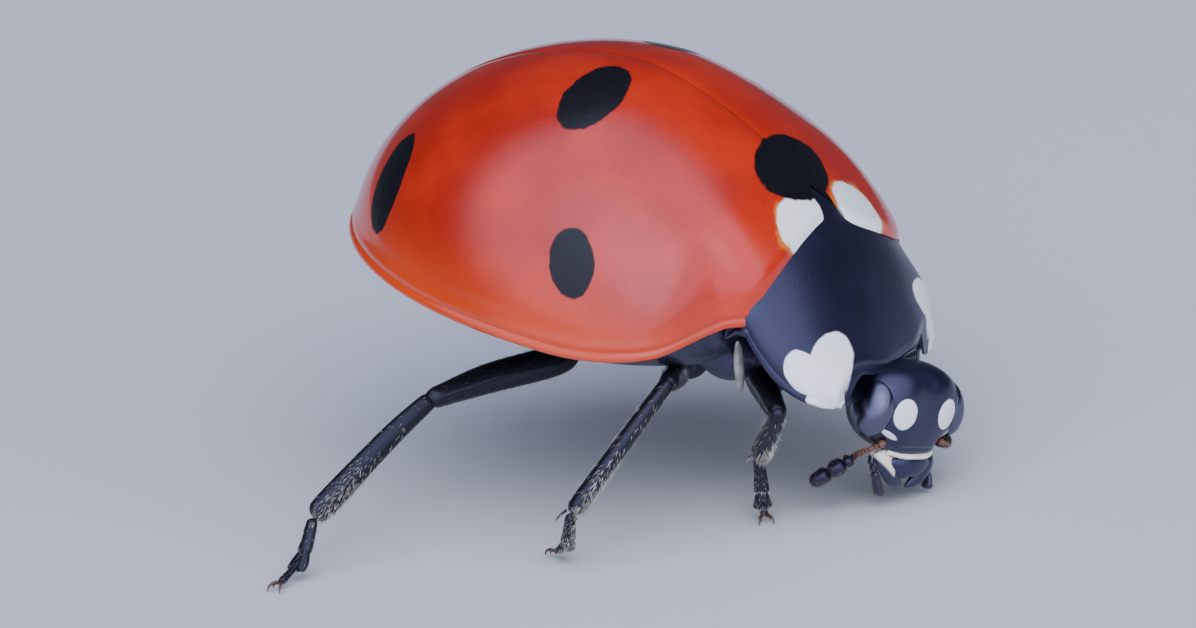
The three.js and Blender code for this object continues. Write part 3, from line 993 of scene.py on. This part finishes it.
def head_rule(gx, gy, gz):
    """A unit ball laid on the head's sections, each a little squared, and fuller at the mouth."""
    ring = np.hypot(gx, gy) + 1e-9
    cos, sin = np.where(ring > 1e-6, gx / ring, 1.0), -gy / ring
    full = np.where(sin > 0, 2.5, 2.1)
    radius = (np.abs(cos) ** full + np.abs(sin) ** full) ** (-1 / full)
    rise = ring**0.74
    low = np.clip(1 - np.abs(gz) ** 6, 0, 1) ** 0.35
    fuller = mixed(rise, np.maximum(rise, low), smooth(0.75, 0.45, np.abs(cos) * ring))
    rise_front = np.where(gz < 0, fuller, rise)
    left = HEAD_WIDE * rise * radius * cos
    face = np.where(sin > 0, HEAD_FRONT * rise_front, HEAD_BACK * rise) * radius * sin
    up = HEAD_TALL * gz
    front = smooth(0.10, 0.34, face)
    # dip of the brow, sockets of the feelers, clypeus edge and a flat apron above the mouth
    face = face - 0.030 * front * np.exp(-((left / 0.16) ** 2)) * smooth(-0.15, 0.15, up)
    socket = np.exp(-(((np.abs(left) - 0.42) / 0.10) ** 2) - ((up + 0.33) / 0.09) ** 2)
    face = face - 0.07 * front * socket
    edge = np.exp(-(((up + 0.385) / 0.022) ** 2)) * smooth(0.42, 0.34, np.abs(left))
    face = face - 0.022 * front * edge
    face = face + 0.02 * front * smooth(-0.30, -0.48, up) * smooth(0.50, 0.30, np.abs(left))
    return left, -face, up


head = new_ball("head_capsule", segments=112, rings=84)
lay(head, head_rule)
turn_with_head(head)

# %% Head finish, in the head's own frame
HEAD_PLACE = BODY_AT + Matrix.Rotation(PITCH, 3, "X") @ HEAD_AT
HEAD_ROTATION = (Matrix.Rotation(PITCH, 3, "X") @ HEAD_TURN).to_euler("XYZ")
# the two white spots of the brow, and the sliver by the eye, drawn once for both sides
FRONS_SPOT = ((0.335, -0.42, 0.045), ((1, 0, 0.08), 0.155), ((-0.08, 0, 1), 0.185))
CHEEK_SLIVER = ((0.45, -0.34, -0.235), ((0.90, 0, 0.44), 0.125), ((-0.44, 0, 0.90), 0.034))


def head_parts(paint):
    """How far left, back and up a place is, in the head's own frame."""
    return paint.parts(paint.bench(HEAD_PLACE, HEAD_ROTATION))


def head_finish():
    paint, place, base = cuticle("head_black_and_white", pits=(0.002, 16.0))
    left, back, up = head_parts(paint)
    folded = paint.node("ShaderNodeCombineXYZ", {}, {0: abs(left), 1: back, 2: up})
    wander = (paint.noise(place, 6.0, 2.0) - 0.5) * 0.12
    front = back.rise(-0.12, -0.22)
    spot = (paint.oval(folded, *FRONS_SPOT) + wander).rise(1.05, 0.95)
    sliver = (paint.oval(folded, *CHEEK_SLIVER) + wander).rise(1.1, 0.85)
    return paint.wear(Base_Color=paint.mix(spot.either(sliver) * front, base, WHITE))


settle(head, head_finish(), "black_plate", "head")

# %% [markdown]
# ## Eyes
#
# A compound eye is a smooth black oval until it is seen close to: its surface is a net of little
# lenses about 20 microns wide. A fine icosphere is displaced so that each point bulges round the
# nearest corner of a coarser one, which gives an even net of lenses with no pattern to slide.

# %% Compound eyes
EYE_AT, EYE_HALF, EYE_TILT = (0.582, 0.085, 0.0), (0.20, 0.29, 0.36), math.radians(10)
LENS_HALF, LENS_BULGE = 0.035, 0.0014
BLOCK = 4000  # points measured at a time, to spare memory


def icosphere(name, level):
    bpy.ops.mesh.primitive_ico_sphere_add(subdivisions=level, radius=1)
    return named(name)


def eye(side):
    coarse = icosphere("lens_centres", 5)
    centres = spots_of(coarse)
    bpy.data.objects.remove(coarse)
    piece = icosphere(f"eye_{SIDES[side]}_lens", 7)
    dense = spots_of(piece)
    nearest = np.empty(len(dense))
    for first in range(0, len(dense), BLOCK):
        block = dense[first : first + BLOCK]
        nearest[first : first + BLOCK] = np.arccos(np.clip(block @ centres.T, -1, 1).max(axis=1))
    bulge = LENS_BULGE * (np.sqrt(np.clip(1 - (nearest / LENS_HALF * 0.9) ** 2, 0, 1)) - 0.6)

    def rule(x, y, z):
        grow = 1 + bulge
        a, f, u = EYE_AT
        out, high = EYE_HALF[0] * side * x * grow, EYE_HALF[2] * z * grow
        return (
            side * (a + out * math.cos(EYE_TILT) - high * math.sin(EYE_TILT)),
            -f + EYE_HALF[1] * y * grow,
            u + out * math.sin(EYE_TILT) + high * math.cos(EYE_TILT),
        )

    lay(piece, rule)
    # the inner part of the oval, inside the head, is cut off
    inner = (side * (EYE_AT[0] - 0.10), -EYE_AT[1] + 0.06, EYE_AT[2])
    cut = {"plane_co": inner, "plane_no": (-side, 0.35, 0), "clear_outer": True, "use_fill": True}
    edit(piece, lambda: bpy.ops.mesh.bisect(**cut))
    return turn_with_head(piece)


EYE_PAINT = clouded("eye_black", ("020205", "07070F"), 3.0, Roughness=0.24, IOR=1.85)
EYE_BLACK = EYE_PAINT.wear(Specular_IOR_Level=1.0, Specular_Tint=(0.72, 0.72, 1.0, 1))
for side in SIDES:
    settle(eye(side), EYE_BLACK, "eye", "eye_" + SIDES[side], crease=EYE_CREASE)

# %% [markdown]
# ## Mouth
#
# Below the clypeus come a pale strip of membrane, the black upper lip, and behind it the jaws,
# whose outer bases are pale. The palps beside them have four joints and end in a hatchet. Each
# is a tube in the head's frame; the lip is a ball pressed flat with a dent in its lower edge.

# %% Upper lip and membrane


def head_path(side, *places):
    """Places given as (left, face, up) for the insect's left, mirrored for its right."""
    return [tuple(on_head(side * left, face, up)) for left, face, up in places]


def lip_rule(x, y, z):
    """Wide above, narrower below, with a dent in the lower edge."""
    taper = mixed(0.72, 1.0, smooth(-0.15, 0.08, z))
    dent = 0.035 * np.exp(-((x / 0.09) ** 2)) * smooth(0.0, -0.15, z)
    return x * taper, -0.385 + y + 0.07 * (x / 0.36) ** 2, -0.635 + z + dent


lip = new_ball("upper_lip", half=(0.37, 0.080, 0.150), segments=40, rings=24)
turn_with_head(lay(lip, lip_rule))
STRIP_PATH = ((-0.37, 0.29, -0.47), (-0.17, 0.385, -0.490), (0.17, 0.385, -0.490), (0.37, 0.29, -0.47))
STRIP_SIZES = ((0, 0.026, 0.03), (0.5, 0.034, 0.045), (1, 0.026, 0.03))
strip = tube("clypeus_membrane", head_path(1, *STRIP_PATH), STRIP_SIZES, HEAD_FACE)


# %% Jaws and palps
JAW_PATH = ((0.36, 0.18, -0.50), (0.32, 0.28, -0.62), (0.20, 0.34, -0.78), (0.04, 0.34, -0.90))
JAW_SIZES = [(0, 0.11, 0.08), (0.35, 0.12, 0.09), (0.75, 0.085, 0.06), (1, 0.02, 0.02)]
PALP_PATHS = {
    -1: ((0.40, 0.10, -0.50), (0.44, 0.16, -0.64), (0.38, 0.22, -0.78), (0.24, 0.25, -1.04)),
    1: ((0.40, 0.10, -0.50), (0.46, 0.16, -0.64), (0.46, 0.24, -0.78), (0.47, 0.29, -0.95)),
}
PALP_JOINTS = (
    (0.0, 0.16, 0.040, 0.044),
    (0.16, 0.44, 0.038, 0.048),
    (0.45, 0.62, 0.044, 0.050),
    (0.62, 1.0, 0.048, 0.085),
)
jaws = join("jaws", [tube("jaw", head_path(side, *JAW_PATH), JAW_SIZES, HEAD_FACE) for side in SIDES])
palps = {
    side: chain("palp_joints_" + word, head_path(side, *PALP_PATHS[side]), PALP_JOINTS, HEAD_LEFT, 0.62)
    for side, word in SIDES.items()
}

# %% [markdown]
# ## Feelers
#
# Eleven joints: a stout first one, a thin stalk, and three broad ones that make the club. The
# right feeler hangs down beside the mouth as the insect looks along its own foot.

# %% Feelers
SOCKET = (0.43, 0.30, -0.34)
FEELER_PATHS = {
    -1: (SOCKET, (0.52, 0.20, -0.46), (0.62, 0.10, -0.57), (0.75, 0.04, -0.72), (0.95, -0.20, -1.07)),
    1: (SOCKET, (0.58, 0.28, -0.38), (0.72, 0.16, -0.42), (0.84, -0.02, -0.46), (0.94, -0.24, -0.52)),
}
FEELER_JOINTS = [(0.00, 0.13, 0.050, 0.062), (0.13, 0.20, 0.046, 0.044), (0.20, 0.32, 0.034, 0.040)]
for k in range(5):
    start = 0.32 + 0.062 * k
    FEELER_JOINTS.append((start, start + 0.062, 0.036 + 0.003 * k, 0.044 + 0.003 * k))
FEELER_JOINTS += [(0.63, 0.74, 0.062, 0.110), (0.74, 0.87, 0.108, 0.128), (0.87, 1.00, 0.120, 0.100)]
feelers = {
    side: chain("feeler_" + word, head_path(side, *FEELER_PATHS[side]), FEELER_JOINTS, HEAD_UP, 0.80, 0.006)
    for side, word in SIDES.items()
}

# %% Finishes of the mouth and the feelers


def mouth_finish():
    """Black, paler toward the outer bases of the jaws."""
    # the second tone, a dark blue 0B0B22, is painted sheen
    paint, _, base = cuticle("mouth_black_and_pale", coat=0.3, tones=("0E0A0A", "0B0B22"))
    left, _, up = head_parts(paint)
    below = up - abs(left) * 0.8 - left.rise(0.0, 0.1) * 0.2
    pale = abs(left).rise(0.23, 0.26) * below.rise(-0.96, -0.91)
    return paint.wear(Base_Color=paint.mix(pale, base, colour("DCD5BE")))


def feeler_finish():
    """Chestnut at the base, black toward the club."""
    # the second tone, a dark blue 0B0B22, is painted sheen
    paint, _, base = cuticle("feeler_brown_black", 0.40, coat=0.3, tones=("120C0A", "0B0B22"), gloss=0.6)
    brown = abs(head_parts(paint)[0]).rise(0.72, 0.60)
    return paint.wear(Base_Color=paint.mix(brown, base, colour("6B4A32")))


MOUTH, FEELER = mouth_finish(), feeler_finish()
settle(lip, BLACK_PLATE, "mouth_and_feelers", "labrum")
settle(strip, PALE, "mouth_and_feelers")
settle(jaws, MOUTH, "mouth_and_feelers", "mandibles")

# %% [markdown]
# ## Legs
#
# Six legs, each with a flattened thigh, a slimmer shin that ends in two spurs, a small ball that
# fills the knee, and a foot with a long first joint, a broad two-lobed pad and a thin claw joint
# with a pair of toothed claws. The thigh and shin are flattened across the plane in which the leg
# bends. The pads rest on the floor, and the claws reach just down to it.

# %% Where the legs stand: hip, knee, ankle and toe (x, y)
LEGS = {
    "right_front": ((-0.7, -1.85, -0.48), (-1.8, -2.66, -0.41), (-1.36, -2.3, -1.2), (-1.42, -2.5)),
    "right_middle": ((-0.8, -0.9, -0.75), (-2.3, -1.45, -0.18), (-3.5, -0.955, -1.615), (-3.19, -0.7)),
    "right_hind": ((-1.15, 0.5, -0.86), (-2.6, 1.424, -1.173), (-4.3, 1.96, -2.27), (-5.03, 1.93)),
    "left_front": ((0.7, -1.85, -0.48), (1.75, -2.7, -0.55), (1.72, -2.75, -1.25), (1.62, -3.0)),
    "left_middle": ((0.8, -0.9, -0.75), (2.25, -1.3, -0.3), (3.3, -0.98, -1.7), (3.75, -1.0)),
    "left_hind": ((1.15, 0.5, -0.86), (2.55, 1.1, -1.0), (4.05, 1.5, -2.3), (4.75, 1.7)),
}
THIGH = [(0, 0.14, 0.13), (0.3, 0.185, 0.145), (0.65, 0.18, 0.14), (0.9, 0.135, 0.12), (1, 0.12, 0.11)]
SHIN = [(0, 0.095, 0.090), (0.12, 0.115, 0.095), (0.5, 0.138, 0.105), (0.88, 0.148, 0.11), (1, 0.115, 0.09)]
SPUR = [(0, 0.020, 0.020), (0.5, 0.014, 0.014), (1, 0.004, 0.004)]
FOOT_FIRST = [(0, 0.068, 0.062), (0.5, 0.082, 0.064), (1, 0.100, 0.060)]
FOOT_LOBE = [(0, 0.05, 0.045), (0.5, 0.076, 0.048), (1, 0.070, 0.036)]
FOOT_LAST = [(0, 0.036, 0.034), (0.6, 0.046, 0.042), (1, 0.054, 0.048)]
CLAW = [(0, 0.022, 0.024), (0.5, 0.017, 0.019), (1, 0.005, 0.005)]
CLAW_TOOTH = [(0, 0.016, 0.018), (0.6, 0.013, 0.014), (1, 0.004, 0.004)]
# how far the pad's lobes spread, how high the last joint rises, and a claw's bow from its root,
# each place as ahead, aside and up
LOBE_SPREAD, LAST_LIFT = (0.012, 0.035, 0.052, 0.062), (0.018, 0.045, 0.050, 0.030)
CLAW_BOW = ((0, 0.020, 0), (0.060, 0.050, 0.012), (0.120, 0.078, -0.015), (0.150, 0.088, -0.074))
FLOOR_UP = np.array((0.0, math.sin(PITCH), math.cos(PITCH)))
SOLE = 0.055


# %% A foot and a leg


def unit(way):
    way = np.asarray(way, float)
    return way / np.linalg.norm(way)


def foot_route(ankle, toe):
    """From the ankle down to the floor and along it: five places of one bow."""
    below = ankle - FLOOR_UP * max((ankle - toe) @ FLOOR_UP - 0.03, 0)
    turning = mixed(below, toe, 0.38)
    return [(1 - f) ** 2 * ankle + 2 * f * (1 - f) * turning + f * f * toe for f in (0, 0.25, 0.5, 0.75, 1)]


def between(route, start, end):
    return read(smooth_path(route, 200), np.linspace(start, end, 4))


def foot(name, ankle, toe):
    route = foot_route(ankle, toe)
    ahead = unit(route[-1] - route[-3])
    ahead = unit(ahead - FLOOR_UP * (ahead @ FLOOR_UP))
    aside = unit(np.cross(FLOOR_UP, ahead))
    parts = [tube("foot_first", between(route, 0, 0.40), FOOT_FIRST, FLOOR_UP, 16, 16)]
    for way in (-1, 1):
        lobe = between(route, 0.34, 0.66) + np.outer(LOBE_SPREAD, aside * way)
        parts.append(tube("foot_lobe", lobe, FOOT_LOBE, FLOOR_UP, 14, 14))
    raised = between(route, 0.50, 1.0) + np.outer(LAST_LIFT, FLOOR_UP)
    parts.append(tube("foot_last", raised, FOOT_LAST, FLOOR_UP, 14, 16))
    claws = []
    for way in (-1, 1):
        bow = [raised[-1] + ahead * a + aside * way * b + FLOOR_UP * c for a, b, c in CLAW_BOW]
        claws.append(tube("claw", bow, CLAW, FLOOR_UP, 10, 14))
        tooth = [bow[0], bow[1] - FLOOR_UP * 0.020, bow[1] + ahead * 0.014 - FLOOR_UP * 0.062]
        claws.append(tube("claw_tooth", tooth, CLAW_TOOTH, FLOOR_UP, 8, 10))
    return join_tiled("foot_" + name, parts), join("claws_" + name, claws)


def leg(name, hip, knee, ankle, toe):
    across = unit(np.cross(knee - hip, ankle - knee))
    inward = hip + np.array((-np.sign(hip[0]) * 0.2, 0, 0.15))
    outside = unit(knee - (hip + ankle) / 2)
    past_knee = knee + unit(knee - hip) * 0.07
    thigh_path = [inward, hip, mixed(hip, knee, 0.55) + outside * 0.03, past_knee]
    thigh = tube("thigh_" + name, thigh_path, THIGH, across, 24, 36)
    tile(thigh, 0, 1)
    upper = mixed(knee, ankle, 0.3) + outside * 0.035
    lower = mixed(knee, ankle, 0.7) + outside * 0.02
    shin_path = [knee + unit(knee - ankle) * 0.05, upper, lower, ankle]
    parts = [tube("shin_" + name, shin_path, SHIN, across, 22, 36)]
    down = unit(ankle - knee)
    for way in (-1, 1):
        root = ankle - down * 0.04 + across * way * 0.07 - outside * 0.03
        middle = root + down * 0.09 + across * way * 0.025
        tip = root + down * 0.17 + across * way * 0.03 - outside * 0.03
        parts.append(tube("spur", [root, middle, tip], SPUR, across, 8, 8))
    return thigh, join_tiled("shin_" + name, parts), *foot(name, ankle, toe)


# %% Leg finishes
LEG_BLACK = cuticle("leg_black", 0.36, (0.006, 18.0), 0.35, ("080706", "100F12"), 0.35)[0].material
CLAW_BROWN = clouded("claw_brown", ("3A2013", "5A3520"), 9.0, Roughness=0.28, Coat_Weight=0.6).material

# %% [markdown]
# ## Hairs
#
# Short hairs stand on the legs, feelers and palps: pale ones on the shins and feet, densest on
# the front of each shin's lower half, grey ones on the thighs and golden ones on the feelers and
# palps. The dense pale tuft low on each shin is partly real hair and partly a painted glint of
# light at the ankle. Each hair is a closed three-sided spike with one bend. Roots are drawn at
# random, with a
# fixed seed, from the triangles of the finished skin, and each hair keeps its root's place on the
# skin's own UV map, so that a bake finds its colour.

# %% A skin's triangles, and a hair's shape
THIRDS = (0.0, 2.094, 4.189)
SPIKE = ((0, 1, 4, 3), (1, 2, 5, 4), (2, 0, 3, 5), (3, 4, 6), (4, 5, 6), (5, 3, 6), (2, 1, 0))


def surface(piece):
    """Corner places, outward ways, areas and UV places of a mesh's triangles."""
    mesh = piece.data
    mesh.calc_loop_triangles()
    count = len(mesh.loop_triangles)
    corners = np.empty(count * 3, np.int32)
    loops = np.empty(count * 3, np.int32)
    mesh.loop_triangles.foreach_get("vertices", corners)
    mesh.loop_triangles.foreach_get("loops", loops)
    points = spots_of(piece)[corners].reshape(-1, 3, 3)
    normal = np.cross(points[:, 1] - points[:, 0], points[:, 2] - points[:, 0])
    area = np.linalg.norm(normal, axis=1) + 1e-12
    return points, normal / area[:, None], area, uv_of(piece)[loops].reshape(-1, 3, 2)


# %% Growing hairs


def hairs(name, coats, seed):
    """coats: (piece, number, length, thickness, lean, grain, where, UV strip, count of strips)."""
    rng = np.random.default_rng(seed)
    places, faces, flat_uv = [], [], []
    for piece, number, length, thick, lean, grain, where, strip, strips in coats:
        points, normals, area, uv = surface(piece)
        weight = area * where(points.mean(axis=1), normals)
        chosen = rng.choice(len(area), number, p=weight / weight.sum())
        share = np.sort(rng.random((number, 2)), axis=1)
        share = np.stack([share[:, 0], share[:, 1] - share[:, 0], 1 - share[:, 1]], axis=1)
        root = (points[chosen] * share[:, :, None]).sum(axis=1)
        root_uv = (uv[chosen] * share[:, :, None]).sum(axis=1)
        out = normals[chosen]
        along = np.broadcast_to(np.asarray(grain, float), root.shape)
        along = units(along - out * (along * out).sum(axis=1)[:, None] + rng.normal(0, 0.25, root.shape))
        first = out * math.cos(lean) + along * math.sin(lean)
        last = out * math.cos(lean * 1.35) + along * math.sin(lean * 1.35)
        size = length * rng.uniform(0.65, 1.15, number)[:, None]
        start = root - out * thick
        bend = start + first * size * 0.5
        tip = bend + last * size * 0.5
        side = units(np.cross(first, out + along * 0.3))
        other = np.cross(first, side)
        for k in range(number):
            base = len(places)
            for middle, radius in ((start[k], thick), (bend[k], thick * 0.75)):
                for angle in THIRDS:
                    aside = side[k] * math.cos(angle) + other[k] * math.sin(angle)
                    places.append(middle + aside * radius)
            places.append(tip[k])
            u, v = (root_uv[k, 0] + strip) / strips, root_uv[k, 1]
            own = [(u + r * math.cos(a), v + r * math.sin(a)) for r in (0.0015, 0.001) for a in THIRDS]
            own.append((u, v))
            for shape in SPIKE:
                faces.append([base + corner for corner in shape])
                flat_uv.extend(own[corner] for corner in shape)
    mesh = bpy.data.meshes.new(name)
    mesh.from_pydata([tuple(place) for place in places], [], faces)
    layer = mesh.uv_layers.new(name="OFBake")
    layer.data.foreach_set("uv", np.clip(np.array(flat_uv), 0.001, 0.999).ravel())
    mesh.validate()
    piece = bpy.data.objects.new(name, mesh)
    bpy.context.collection.objects.link(piece)
    return piece


# %% Hair finishes
HAIR_TONES = {
    # the pale hairs' light tone is partly their own colour and partly a painted glint on the shins
    "hair_pale": ("C8C4B8", "8E897C"),
    "hair_grey": ("5C5751", "33302D"),
    "hair_gold": ("6B5636", "42351F"),
}
HAIR_PALE, HAIR_GREY, HAIR_GOLD = (
    clouded(name, tones, 8.0, 1.0, (0.3, 0.7), Roughness=0.45, Specular_IOR_Level=0.5).material
    for name, tones in HAIR_TONES.items()
)


def everywhere(places, normals):
    return np.ones(len(places))


# %% Make and settle the legs
FORWARD_SIDE = unit((0, -1, -0.3))
for number, (name, joints) in enumerate(LEGS.items()):
    hip, knee, ankle = (np.array(place) for place in joints[:3])
    toe = np.array((*joints[3], floor_z(joints[3][1], SOLE)))
    thigh, shin, feet, claws = leg(name, hip, knee, ankle, toe)

    def under(places, normals):
        return 0.15 + smooth(0.1, -0.6, normals @ FLOOR_UP) * 2

    # pale hairs gather densest on the front of the shin's lower half: partly real hairs, partly a painted
    # glint at the ankle
    def lower_front_glint_tuft(places, normals):
        along = (places - knee) @ (ankle - knee) / ((ankle - knee) @ (ankle - knee))
        return 0.06 + smooth(0.45, 0.75, along) * smooth(-0.3, 0.5, normals @ FORWARD_SIDE)

    shin_coats = [
        (shin, 520, 0.085, 0.0024, 0.95, ankle - knee, lower_front_glint_tuft, 0, 2),
        (feet, 520, 0.044, 0.0022, 0.80, toe - ankle, under, 1, 2),
    ]
    thigh_coats = [(thigh, 260, 0.070, 0.0026, 1.05, knee - hip, everywhere, 0, 1)]
    joint = new_ball("knee_ball_" + name, tuple(knee), (0.090, 0.090, 0.090), segments=20, rings=14)
    settle(joint, LEG_BLACK, "leg")
    shin_hairs = hairs("hairs_shin_" + name, shin_coats, 100 + number)
    thigh_hairs = hairs("hairs_thigh_" + name, thigh_coats, 120 + number)
    settle(thigh, LEG_BLACK, "leg", "femur_" + name)
    settle(shin, LEG_BLACK, "leg", "tibia_" + name)
    settle(feet, LEG_BLACK, "leg", "tarsus_" + name)
    settle(claws, CLAW_BROWN, "leg")
    settle(shin_hairs, HAIR_PALE, "leg")
    settle(thigh_hairs, HAIR_GREY, "leg")

# %% Hairs of the feelers and the palps
for side, word in SIDES.items():
    grain = HEAD_LEFT * side * 0.5 - HEAD_UP
    coats = [
        (feelers[side], 420, 0.038, 0.0032, 0.85, grain, everywhere, 0, 2),
        (palps[side], 160, 0.035, 0.0032, 0.85, grain, everywhere, 1, 2),
    ]
    settle(hairs("hairs_feeler_" + word, coats, 200 + side), HAIR_GOLD, "mouth_and_feelers")
    settle(feelers[side], FEELER, "mouth_and_feelers", "antenna_" + word)
    settle(palps[side], MOUTH, "mouth_and_feelers", "palp_" + word)
